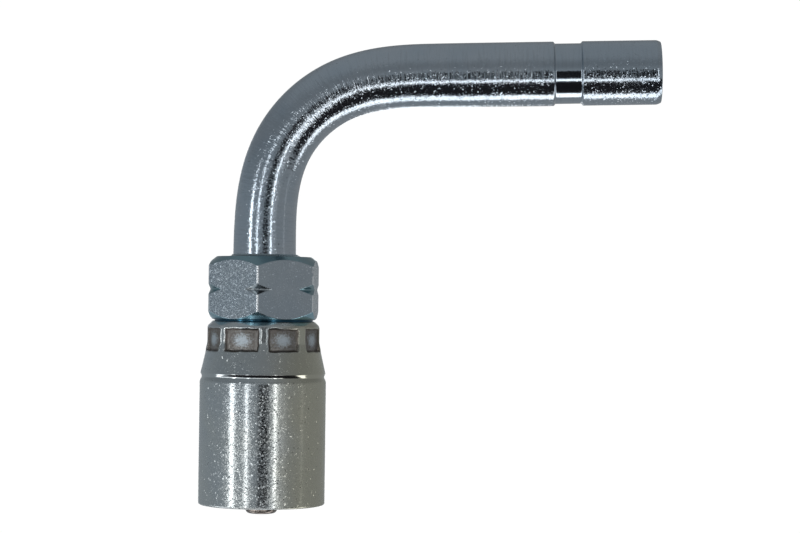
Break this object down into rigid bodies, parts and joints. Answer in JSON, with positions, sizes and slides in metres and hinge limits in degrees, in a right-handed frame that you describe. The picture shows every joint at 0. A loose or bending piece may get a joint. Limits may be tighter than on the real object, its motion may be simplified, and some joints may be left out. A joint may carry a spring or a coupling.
{
  "type": "hydraulic hose end fitting",
  "caption": "Crimp-on hydraulic hose end: staked crimp shell, barbed nipple with integral hexagon, and a bent standpipe tube with a shallow ring groove.",
  "frame": {"origin": "centre of the crimp shell's mouth, on the hose axis", "axes": "+Z along the hose axis from the mouth towards the hexagon and the bend; +X towards the free end of the standpipe, in the plane of the bend; +Y completes the right-handed frame"},
  "size_m": [0.0905, 0.025, 0.0944],
  "materials": {
    "zinc_shell": "zinc plated steel, fine grained, semi-bright",
    "zinc_nipple": "zinc plated bar steel, drawn flats and turned chamfers",
    "zinc_tube": "zinc plated drawn tube with fine polishing lines",
    "braze_alloy": "plated over braze fillet, satin"
  },
  "bodies": {
    "root": {"crimp_shell": "zinc_shell", "hose_nipple": "zinc_nipple", "bent_tube": "zinc_tube", "braze_fillet": "braze_alloy"}
  },
  "joints": []
}
